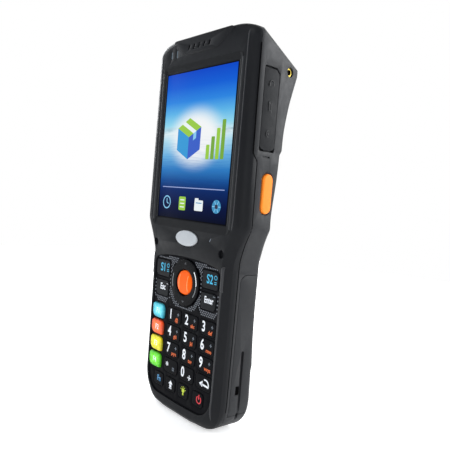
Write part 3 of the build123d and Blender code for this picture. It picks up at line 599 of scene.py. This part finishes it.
# inlay arcs round the ring: one chrome inlay, bright at upper right, with its lower right and left arcs in a dim copy
# as painted shade
a = Art("ring_inlays", V(0, -0.55, NAV_Z), (1, 0, 0), (0, 0, 1), 0.10)
a.arc(0, 0, 9.2, 9.7, -2, 41, "chrome", 30, base=-0.04)
a.arc(0, 0, 9.25, 9.65, -38, -3, "screw_metal_and_inlay_shade", 20, base=-0.04)
a.arc(0, 0, 9.2, 9.6, 160, 200, "screw_metal_and_inlay_shade", 26, base=-0.04)
for ang in (90, 270):
    t = math.radians(ang)
    c, s = math.cos(t), math.sin(t)
    px, py = 9.3 * c, 9.3 * s
    a.poly([(px + 0.6 * c, py + 0.6 * s), (px - 0.45 * c - 0.9 * s, py - 0.45 * s + 0.9 * c), (px - 0.45 * c + 0.9 * s, py - 0.45 * s - 0.9 * c)], "ringmark", base=-0.07)
a.done("nav_ring", "nav_black")


def scan_key_mesh():
    """Domed centre key whose middle is a flat upright band with a crease at each side."""
    R, RS, CY = 5.9, 14.3, 12.72
    flat = 3.2

    def height(x, z):
        xx = max(abs(x), flat)
        xx = abs(x) if abs(x) > flat else flat + 0.0
        return CY - math.sqrt(max(RS * RS - xx * xx - z * z, 0.0))

    bm = bmesh.new()
    rings, seg = 22, 96
    layers = []
    centre = bm.verts.new(V(0, height(0, 0), NAV_Z))
    for i in range(1, rings + 1):
        r = R * i / rings
        y_extra = 0.0
        if i == rings:
            y_extra = 0.12
        ring = []
        for k in range(seg):
            t = 2 * math.pi * k / seg
            x, z = r * math.cos(t), r * math.sin(t)
            ring.append(bm.verts.new(V(x, height(x, z) + y_extra, NAV_Z + z)))
        layers.append(ring)
    for k in range(seg):
        bm.faces.new((centre, layers[0][k], layers[0][(k + 1) % seg]))
    for i in range(rings - 1):
        for k in range(seg):
            bm.faces.new((layers[i][k], layers[i + 1][k], layers[i + 1][(k + 1) % seg], layers[i][(k + 1) % seg]))
    low = [bm.verts.new(V(R * math.cos(2 * math.pi * k / seg), 1.9, NAV_Z + R * math.sin(2 * math.pi * k / seg))) for k in range(seg)]
    for k in range(seg):
        bm.faces.new((layers[-1][k], low[k], low[(k + 1) % seg], layers[-1][(k + 1) % seg]))
    bm.faces.new(low)
    bmesh.ops.recalc_face_normals(bm, faces=bm.faces)
    me = bpy.data.meshes.new("scan_key_cap")
    bm.to_mesh(me)
    bm.free()
    me.materials.append(M["scan"])
    for p in me.polygons:
        p.use_smooth = True
    ob = bpy.data.objects.new("scan_key_cap", me)
    bpy.context.scene.collection.objects.link(ob)
    m = ob.modifiers.new("smooth", "NODES")
    m.node_group = SMOOTH
    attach(ob, "scan_key")
    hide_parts("scan_key")
    return ob


scan_key_mesh()


# ------------------------------------------------------------------ raised dots on the keypad panel, light grey: a real dot texture whose light tone also paints the highlights the domes catch
def panel_dots():
    keys = [(-18.9, 70.2, 11.6, 8.4), (18.9, 70.2, 11.6, 8.4), (-18.6, 60.2, 10.8, 7.8), (18.6, 60.2, 10.8, 7.8)]
    bm = bmesh.new()
    step = 1.28
    n = 0
    for j in range(0, 27):
        for i in range(-22, 23):
            x = (i + 0.5 * (j % 2)) * step
            z = 53.4 + j * step * 0.72
            if z > 76.9 - 0.0019 * x * x or abs(x) > 25.0:
                continue
            r = math.hypot(x, z - NAV_Z)
            if r < 12.1:
                continue
            if any(abs(x - kx) < w / 2 + 0.75 and abs(z - kz) < h / 2 + 0.75 for kx, kz, w, h in keys):
                continue
            # lower edge: an arc under each outer key and one under the ring
            low = min(math.hypot(x - 18.6, z - 60.2) - 8.6 if x > 10 else 9, math.hypot(x + 18.6, z - 60.2) - 7.6 if x < -10 else 9, r - 14.2)
            if z < 60 and low > 0:
                continue
            if abs(x) > 24.2 and z > 74.0:
                continue
            top = bm.verts.new(V(x, 0.3 - 0.22, z))
            ring = [bm.verts.new(V(x + 0.34 * math.cos(q * math.pi / 3), 0.3 - 0.12, z + 0.34 * math.sin(q * math.pi / 3))) for q in range(6)]
            base = [bm.verts.new(V(x + 0.44 * math.cos(q * math.pi / 3), 0.32, z + 0.44 * math.sin(q * math.pi / 3))) for q in range(6)]
            for q in range(6):
                bm.faces.new((top, ring[q], ring[(q + 1) % 6]))
                bm.faces.new((ring[q], base[q], base[(q + 1) % 6], ring[(q + 1) % 6]))
            bm.faces.new(base)
            n += 1
    bmesh.ops.recalc_face_normals(bm, faces=bm.faces)
    me = bpy.data.meshes.new("panel_dots")
    bm.to_mesh(me)
    bm.free()
    me.materials.append(M["dots"])
    ob = bpy.data.objects.new("panel_dots", me)
    bpy.context.scene.collection.objects.link(ob)
    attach(ob, "case")
    return n


panel_dots()

# ------------------------------------------------------------------ the picture's motif and row of symbols
for nm, col in (("d_lime", (150, 204, 44)), ("d_lime2", (112, 168, 30)), ("d_blue", (0, 150, 216)), ("d_deep", (16, 82, 200)),
                ("d_pale", (132, 204, 244)), ("d_white", (240, 248, 252)), ("d_line", (150, 168, 222)), ("d_teal", (40, 140, 190)),
                ("d_navy", (4, 10, 60))):
    M[nm] = lit(nm, srgb(*col), 0.92)
SX0, SZ0, SW, SH = -26.67, 96.1, 53.34, 71.1
a = Art("display_motif", V(0, -0.505, 0), (1, 0, 0), (0, 0, 1), 0.012)


def S(u, v):
    return (SX0 + SW * u, SZ0 + SH * v)


# a plain parcel seen from a corner, beside four rising bars
cx, cz = S(0.40, 0.545)
w, h, q = 9.2, 10.6, 4.6
a.poly([(cx - w, cz + h / 2), (cx, cz + h / 2 - q), (cx, cz - h / 2 - q), (cx - w, cz - h / 2)], "d_blue")
a.poly([(cx, cz + h / 2 - q), (cx + w, cz + h / 2), (cx + w, cz - h / 2), (cx, cz - h / 2 - q)], "d_deep")
a.poly([(cx, cz + h / 2 - q), (cx - w, cz + h / 2), (cx, cz + h / 2 + q), (cx + w, cz + h / 2)], "d_lime")
a.poly([(cx - 0.62 * w, cz + h / 2 + 0.38 * q), (cx - 0.38 * w, cz + h / 2 + 0.62 * q), (cx + 0.62 * w, cz + h / 2 - 0.38 * q), (cx + 0.38 * w, cz + h / 2 - 0.62 * q)], "d_white", base=0.013)
a.poly([(cx + 0.38 * w, cz + h / 2 - 0.62 * q), (cx + 0.62 * w, cz + h / 2 - 0.38 * q), (cx + 0.62 * w, cz + h / 2 - 0.38 * q - 3.4), (cx + 0.38 * w, cz + h / 2 - 0.62 * q - 3.4)], "d_pale", base=0.013)
for k in range(4):
    x = S(0.685 + 0.066 * k, 0)[0]
    top = S(0, 0.50 + 0.052 * k)[1]
    low = S(0, 0.405)[1]
    a.rrect(x, (top + low) / 2, 2.5, top - low, 0.5, "d_lime" if k % 2 == 0 else "d_lime2")
a.done("case", "glass_black")
a = Art("display_symbols", V(0, -0.505, 0), (1, 0, 0), (0, 0, 1), 0.012)
x0, z0 = S(0.045, 0.2125)
x1, z1 = S(0.955, 0.2125)
a.bar(x0, z0, x1, z1, 0.42, "d_line")
zc = S(0, 0.105)[1]
xs = [S(u, 0)[0] for u in (0.13, 0.375, 0.62, 0.865)]
# clock
a.arc(xs[0], zc, 2.7, 3.3, 0, 360, "d_pale")
a.bar(xs[0], zc, xs[0], zc + 1.9, 0.55, "d_pale")
a.bar(xs[0], zc, xs[0] + 1.5, zc - 0.7, 0.55, "d_pale")
# list
a.rrect(xs[1], zc, 5.4, 6.6, 0.7, "d_lime")
for k in (-1.7, 0.0, 1.7):
    a.bar(xs[1] - 1.7, zc + k, xs[1] + 1.7, zc + k, 0.5, "d_white", base=0.013)
# folder
a.rrect(xs[2], zc - 0.3, 6.4, 5.0, 0.6, "d_white")
a.rrect(xs[2] - 1.7, zc + 2.4, 2.8, 1.4, 0.4, "d_white")
a.bar(xs[2] - 2.2, zc + 0.9, xs[2] + 2.2, zc + 0.9, 0.45, "d_teal", base=0.013)
# wheel
a.disc(xs[3], zc, 3.1, "d_teal")
for k in range(3):
    t = math.radians(60 * k)
    a.bar(xs[3] - 3.0 * math.cos(t), zc - 3.0 * math.sin(t), xs[3] + 3.0 * math.cos(t), zc + 3.0 * math.sin(t), 0.4, "d_pale", base=0.013)
a.disc(xs[3], zc, 1.1, "d_navy", 18, base=0.026)
a.done("case", "glass_black")

# ------------------------------------------------------------------ raised rims moulded on the front, in a lighter plastic that paints a highlight line along them
def sweep(name, pts, prof, mat, body, closed=True):
    """Section prof of (outward, forward) mm carried round pts of (x, z, y) with their outward normals."""
    bm = bmesh.new()
    loops = []
    for x, z, y, nx, nz in pts:
        loops.append([bm.verts.new(V(x + nx * o, y - f, z + nz * o)) for o, f in prof])
    n, m = len(loops), len(prof)
    for k in range(n if closed else n - 1):
        a_, b_ = loops[k], loops[(k + 1) % n]
        for q in range(m):
            bm.faces.new((a_[q], a_[(q + 1) % m], b_[(q + 1) % m], b_[q]))
    if not closed:
        bm.faces.new(loops[0])
        bm.faces.new(loops[-1][::-1])
    bmesh.ops.recalc_face_normals(bm, faces=bm.faces)
    me = bpy.data.meshes.new(name)
    bm.to_mesh(me)
    bm.free()
    me.materials.append(M[mat])
    ob = bpy.data.objects.new(name, me)
    bpy.context.scene.collection.objects.link(ob)
    m = ob.modifiers.new("smooth", "NODES")
    m.node_group = SMOOTH
    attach(ob, body)
    return ob


def rim_path(w, z0, z1, r, y, n=10, drop=0.0):
    """Rounded rectangle, anticlockwise, with outward normals."""
    pts = []
    for sx, sz, a0 in ((1, -1, -90), (1, 1, 0), (-1, 1, 90), (-1, -1, 180)):
        cx_, cz_ = sx * (w - r), (z0 + r if sz < 0 else z1 - r)
        for k in range(n + 1):
            t_ = math.radians(a0 + 90 * k / n)
            pts.append((cx_ + r * math.cos(t_), cz_ + r * math.sin(t_), y, math.cos(t_), math.sin(t_)))
    return pts


def half_round(w, h, n=7, sink=0.12):
    """Bead section: width w, height h, with its foot sunk in the surface."""
    return [(-w / 2, -sink)] + [(-w / 2 * math.cos(math.pi * k / n), h * math.sin(math.pi * k / n)) for k in range(n + 1)] + [(w / 2, -sink)]


# rim plastic: a lighter, glossier copy of the front plastic, so the raised ridges carry a painted highlight line
M["rim"] = plastic("rim_plastic_painted_highlight", (0.021, 0.022, 0.025, 1), 0.40, spec=0.32)
def lip():
    """Frame that slopes from the glass up to the front: a crest beside the glass, a plain slope above and below it; the
    runs beside the glass carry a painted highlight in a lighter plastic.
    """
    inner, outer = (27.7, 95.0, 168.4, 0.7), (30.6, 91.2, 171.6, 2.6)
    frac = (0.0, 0.35, 0.52, 0.68, 0.80, 0.96, 1.0)
    side = (0.0, 0.09, 0.38, 0.66, 0.68, 0.53, 0.40)
    plain = (0.0, 0.14, 0.26, 0.40, 0.50, 0.52, 0.40)
    bm = bmesh.new()
    loops = []
    pa, pb = rim_path(*inner, 0.0), rim_path(*outer, 0.0)
    for (xa, za, _, nx, nz), (xb, zb, _, _, _) in zip(pa, pb):
        k = nx * nx
        row = [bm.verts.new(V(xa + (xb - xa) * f, -0.5 - (k * a_ + (1 - k) * b_), za + (zb - za) * f)) for f, a_, b_ in zip(frac, side, plain)]
        row += [bm.verts.new(V(xb, -0.2, zb)), bm.verts.new(V(xa, -0.2, za))]
        loops.append(row)
    n, m = len(loops), len(loops[0])
    for k in range(n):
        a_, b_ = loops[k], loops[(k + 1) % n]
        for q in range(m):
            bm.faces.new((a_[q], a_[(q + 1) % m], b_[(q + 1) % m], b_[q]))
    bmesh.ops.recalc_face_normals(bm, faces=bm.faces)
    me = bpy.data.meshes.new("glass_lip")
    bm.to_mesh(me)
    bm.free()
    me.materials.append(M["lip"])
    me.materials.append(M["lipside"])
    # faces of the runs beside the glass take the lighter lip plastic: a painted highlight on those slopes
    for q in me.polygons:
        if abs(q.center.x) > 0.0276 and 0.0955 < q.center.z < 0.1682 and abs(q.normal.z) < 0.35:
            q.material_index = 1
    ob = bpy.data.objects.new("glass_lip", me)
    bpy.context.scene.collection.objects.link(ob)
    ob.modifiers.new("smooth", "NODES").node_group = SMOOTH
    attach(ob, "case")


M["lip"] = plastic("lip_plastic", (0.0070, 0.0075, 0.0086, 1), 0.44, spec=0.08)
# lighter copy of the lip plastic for the runs beside the glass: painted highlight
M["lipside"] = plastic("lip_side_painted_highlight", (0.0150, 0.0158, 0.0178, 1), 0.40, spec=0.30)
lip()

# crease where the front turns into the rounded sides, up to the top of the head
fm = NODES["front_housing"].data
front_tree = BVHTree.FromPolygons([v.co.copy() for v in fm.vertices], [tuple(q.vertices) for q in fm.polygons])


def front_y(x, z):
    """The front shell's outer surface at x, z, in drawing mm."""
    hit = front_tree.ray_cast(V(x, -20.0, z), Vector((0, 1, 0)))[0]
    return (hit.y - YD) / MM


for sx, nm in ((1, "head_crease_right"), (-1, "head_crease_left")):
    pts = []
    for k in range(60):
        z = 92.6 + (181.0 - 92.6) * k / 59
        x = 31.45 + 0.65 * min(1.0, (z - 92.6) / 6.0) + 0.25 * (z - 98.6) / 80.0
        sink = 0.30 * max(0.0, 1 - (z - 92.6) / 4.0) + 0.30 * max(0.0, (z - 178.0) / 3.0)
        pts.append((sx * x, z, front_y(sx * x, z) + 0.02 + sink, sx * 1.0, 0.0))
    sweep(nm, pts, half_round(0.75, 0.22, sink=0.3), "rim", "case", closed=False)

# ridge down each side of the grip front
def grip_ridge(sx, z0, z1, rise=0.0):
    """Straight run down the edge of the front, on the surface; both ends sink in."""
    pts = []
    for k in range(49):
        z = z0 + (z1 - z0) * k / 48
        x = 27.05 - 0.7 * (75.0 - z) / 57.5 - (0.10 * (17.0 - z) if z < 17.0 else 0.0)
        end = min(k, 48 - k) / 48
        pts.append((sx * x, z, front_y(sx * x, z) + 0.01 - rise + 0.45 * max(0.0, 1 - end * 12), sx * 1.0, 0.0))
    return pts


for sx, nm in ((1, "right"), (-1, "left")):
    sweep("grip_ridge_" + nm, grip_ridge(sx, 76.0, 5.0), half_round(0.7, 0.24, sink=0.3), "rim", "case", closed=False)
    sweep("grip_ridge_tip_" + nm, grip_ridge(sx, 77.5, 66.0), half_round(1.5, 0.42, sink=0.5), "rim", "case", closed=False)

# near-black strip in the joint between the shells, along both sides: painted shade for the shadow in the joint, laid
# over the seal
rm = NODES["rear_housing"].data
both = [v.co.copy() for v in fm.vertices] + [v.co.copy() for v in rm.vertices]
nf = len(fm.vertices)
side_tree = BVHTree.FromPolygons(both, [tuple(q.vertices) for q in fm.polygons] + [tuple(nf + i for i in q.vertices) for q in rm.polygons])


def side_x(sx, y, z):
    """The outer surface at y, z seen from one side, in drawing mm, taken beside the joint."""
    best = 0.0
    for dy in (-0.35, 0.35):
        hit = side_tree.ray_cast(V(sx * 60.0, y + dy, z), Vector((-sx, 0, 0)))[0]
        if hit is not None:
            best = max(best, abs(hit.x) / MM)
    return best


JOINT = [(6.5, 11.0), (6.5, 30.0), (6.5, 77.0), (6.25, 80.5), (5.95, 84.0), (5.62, 87.5), (5.35, 91.0), (5.28, 107.0), (5.2, 123.9), (4.6, 125.2), (3.95, 126.1), (3.3, 127.0), (2.75, 128.2), (2.7, 150.0), (2.7, 176.0)]
for sx, nm in ((1, "joint_shadow_strip_right"), (-1, "joint_shadow_strip_left")):
    pts = []
    for (ya, za), (yb, zb) in zip(JOINT, JOINT[1:]):
        steps = max(1, int((zb - za) / 1.5))
        for k in range(steps):
            f = k / steps
            pts.append((ya + (yb - ya) * f, za + (zb - za) * f))
    bm = bmesh.new()
    rows = []
    for y, z in pts:
        x = sx * side_x(sx, y, z)
        rows.append([bm.verts.new(V(x + sx * dx_, y + dy_, z)) for dx_, dy_ in ((-0.5, -0.22), (0.02, -0.22), (0.03, 0.0), (0.02, 0.22), (-0.5, 0.22))])
    for ra, rb in zip(rows, rows[1:]):
        for q in range(5):
            bm.faces.new((ra[q], ra[(q + 1) % 5], rb[(q + 1) % 5], rb[q]))
    bm.faces.new(rows[0])
    bm.faces.new(rows[-1][::-1])
    bmesh.ops.recalc_face_normals(bm, faces=bm.faces)
    me = bpy.data.meshes.new(nm)
    bm.to_mesh(me)
    bm.free()
    me.materials.append(M["shade_black"])
    ob = bpy.data.objects.new(nm, me)
    bpy.context.scene.collection.objects.link(ob)
    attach(ob, "case")

# fine lighter-orange ribs along the two creases of the centre key: painted highlight lines on the creases
for sx, nm in ((1, "scan_key_crease_highlight_right"), (-1, "scan_key_crease_highlight_left")):
    pts = []
    for k in range(21):
        z = -3.9 + 7.8 * k / 20
        y = 12.72 - math.sqrt(14.3 ** 2 - 3.2 ** 2 - z * z)
        pts.append((sx * 3.2, NAV_Z + z, y + 0.03 + 0.12 * abs(z / 3.9) ** 6, sx * 1.0, 0.0))
    sweep(nm, pts, half_round(0.5, 0.12), "scan_crease_highlight", "scan_key", closed=False)

# ------------------------------------------------------------------ small front parts
a = Art("mic_slit", V(17.6, -0.98, 88.2), (1, 0, 0), (0, 0, 1), 0.06)
t = math.radians(62)
a.bar(-0.85 * math.cos(t), -0.85 * math.sin(t), 0.85 * math.cos(t), 0.85 * math.sin(t), 0.34, "grey", base=-0.05)
a.done("case", "case_black")

# near-black plates in the guide notches low on the battery cover: painted shade for the shadow in the pockets
for sx, nm in ((1, "notch_shade_right"), (-1, "notch_shade_left")):
    a = Art(nm, V(sx * 28.45, 12.3, 20.4), (0, sx, 0), (0, 0, 1), 0.85)
    a.rrect(0, 0, 2.56, 4.16, 0.25, "shade_black")
    a.done("battery", "case_black")

# marks moulded on the port flap: headphones, two arrows, a pin in a ring; drawn in a lighter copy of the flap rubber as
# a painted highlight on the raised marks
w = 37.75 - 0.159 * (10.4 - 12.4)
tilt = math.atan(0.159)
origin = V(37.75 + 0.159 * (12.4 - 10.4) + 0.0, 10.4, 0)
right = Vector((-math.sin(tilt), math.cos(tilt), 0))
# flap marks: the flap rubber made lighter and glossier, a painted highlight
M["mark"] = plastic("flap_marks", (0.018, 0.0185, 0.020, 1), 0.6, spec=0.25)
a = Art("flap_marks", V(0, 10.4, 0), (0, 1, 0), (0, 0, 1), 0.10)
lo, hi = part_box("port_cover")
a.o = Vector((0.0, 10.4 * MM + YD, 0.0))


def flap_x(y):
    """Outer surface of the flap at drawing y, mm."""
    return 37.75 + 0.159 * (12.4 - y)


a.r = right
a.u = Vector((0, 0, 1))
a.out = a.r.cross(a.u)
a.o = Vector((min(flap_x(10.4), hi.x / MM) * MM, 10.4 * MM + YD, 0.0))
a.arc(0, 158.6, 1.15, 1.5, 0, 180, "mark", 20, base=-0.06)
a.rrect(-1.32, 158.1, 0.8, 1.5, 0.3, "mark", base=-0.06)
a.rrect(1.32, 158.1, 0.8, 1.5, 0.3, "mark", base=-0.06)
a.bar(-0.75, 146.6, -0.75, 150.2, 0.36, "mark", base=-0.06)
a.poly([(-0.75, 151.3), (-1.5, 149.9), (0.0, 149.9)], "mark", base=-0.06)
a.bar(0.75, 147.0, 0.75, 150.6, 0.36, "mark", base=-0.06)
a.poly([(0.75, 145.9), (0.0, 147.3), (1.5, 147.3)], "mark", base=-0.06)
a.arc(0, 137.0, 1.15, 1.5, 0, 360, "mark", 20, base=-0.06)
a.disc(0, 137.0, 0.5, "mark", 16, base=-0.06)
a.done("port_cover", "flap_grey")

# ------------------------------------------------------------------ stage
floor_mat = Mat("floor_pale")
fn = floor_mat.noise(6.0, 3.0)
floor_mat.link(floor_mat.mix(floor_mat.remap(fn, 0.0, 1.0), (0.80, 0.80, 0.80, 1), (0.84, 0.84, 0.84, 1)), floor_mat.b.inputs["Base Color"])
floor_mat.b.inputs["Roughness"].default_value = 0.95
floor_mat.b.inputs["Specular IOR Level"].default_value = 0.0
floor_mat.b.inputs["Emission Color"].default_value = (1, 1, 1, 1)
fg = floor_mat.node("ShaderNodeVectorMath", operation="LENGTH")
floor_mat.link(floor_mat.co.outputs["Object"], fg.inputs[0])
floor_mat.link(floor_mat.remap(fg.outputs["Value"], 0.50, 1.05, 0.10, 0.55), floor_mat.b.inputs["Emission Strength"])
me = bpy.data.meshes.new("floor")
bm = bmesh.new()
bmesh.ops.create_circle(bm, cap_ends=True, radius=0.70, segments=128)
bm.to_mesh(me)
bm.free()
me.materials.append(floor_mat.m)
floor = bpy.data.objects.new("floor", me)
bpy.context.scene.collection.objects.link(floor)

world = bpy.data.worlds.new("studio")
bpy.context.scene.world = world
world.use_nodes = True
wn, wl = world.node_tree.nodes, world.node_tree.links
wn.clear()
out = wn.new("ShaderNodeOutputWorld")
soft = wn.new("ShaderNodeBackground")
soft.inputs[0].default_value = (0.92, 0.96, 1.0, 1)
soft.inputs[1].default_value = 0.13
back = wn.new("ShaderNodeBackground")
back.inputs[0].default_value = (1, 1, 1, 1)
back.inputs[1].default_value = 1.0
path = wn.new("ShaderNodeLightPath")
mixw = wn.new("ShaderNodeMixShader")
wl.new(path.outputs["Is Camera Ray"], mixw.inputs[0])
wl.new(soft.outputs[0], mixw.inputs[1])
wl.new(back.outputs[0], mixw.inputs[2])
wl.new(mixw.outputs[0], out.inputs[0])


def area(name, az, el, dist, size, power, colour=(1, 1, 1), target=(0, 0, 0.10), size_y=None):
    d = bpy.data.lights.new(name, "AREA")
    d.shape = "RECTANGLE"
    d.size, d.size_y = size, size_y or size
    d.energy = power
    d.color = colour
    o = bpy.data.objects.new(name, d)
    a_, e_ = math.radians(az), math.radians(el)
    p = Vector((math.sin(a_) * math.cos(e_), -math.cos(a_) * math.cos(e_), math.sin(e_)))
    t_ = Vector(target)
    o.location = t_ + p * dist
    o.rotation_mode = "QUATERNION"
    o.rotation_quaternion = (-p).to_track_quat("-Z", "Y")
    bpy.context.scene.collection.objects.link(o)
    return o


area("side_light", 142, 24, 1.0, 0.8, 13.5, (0.97, 0.985, 1.0))
area("left_light", -98, 22, 1.0, 0.5, 7.0, (0.95, 0.975, 1.0))
area("front_fill", -6, 46, 1.0, 0.6, 4.2, (0.95, 0.975, 1.0))
area("top_light", 20, 82, 1.1, 0.8, 1.2)
area("low_left", -53, 8, 1.0, 0.8, 1.9, (0.92, 0.96, 1.0), size_y=0.5)
area("broad_fill", 49, 6, 1.1, 0.9, 5.0, (0.93, 0.96, 1.0))
area("back_light", 215, 35, 1.1, 0.8, 4.0)

cam = bpy.data.cameras.new("camera")
cam.sensor_fit = "HORIZONTAL"
cam.sensor_width = 36.0
cam.lens = 527.958 / 450.0 * 36.0
cam.shift_y = -0.00122
cam.clip_start, cam.clip_end = 0.01, 20.0
co = bpy.data.objects.new("camera", cam)
R0, R1, R2 = (0.64806532, 0.75719215, 0.08167862), (0.09059489, 0.02984027, -0.99544067), (-0.75617717, 0.65251024, -0.0492593)
co.matrix_world = Matrix((
    (R0[0], -R1[0], -R2[0], 0.20196223),
    (R0[1], -R1[1], -R2[1], -0.15194811 + YD),
    (R0[2], -R1[2], -R2[2], 0.1672 - 0.0594999),
    (0, 0, 0, 1)))
bpy.context.scene.collection.objects.link(co)
bpy.context.scene.camera = co
bpy.context.scene.view_settings.view_transform = "Standard"
bpy.context.scene.view_settings.look = "None"
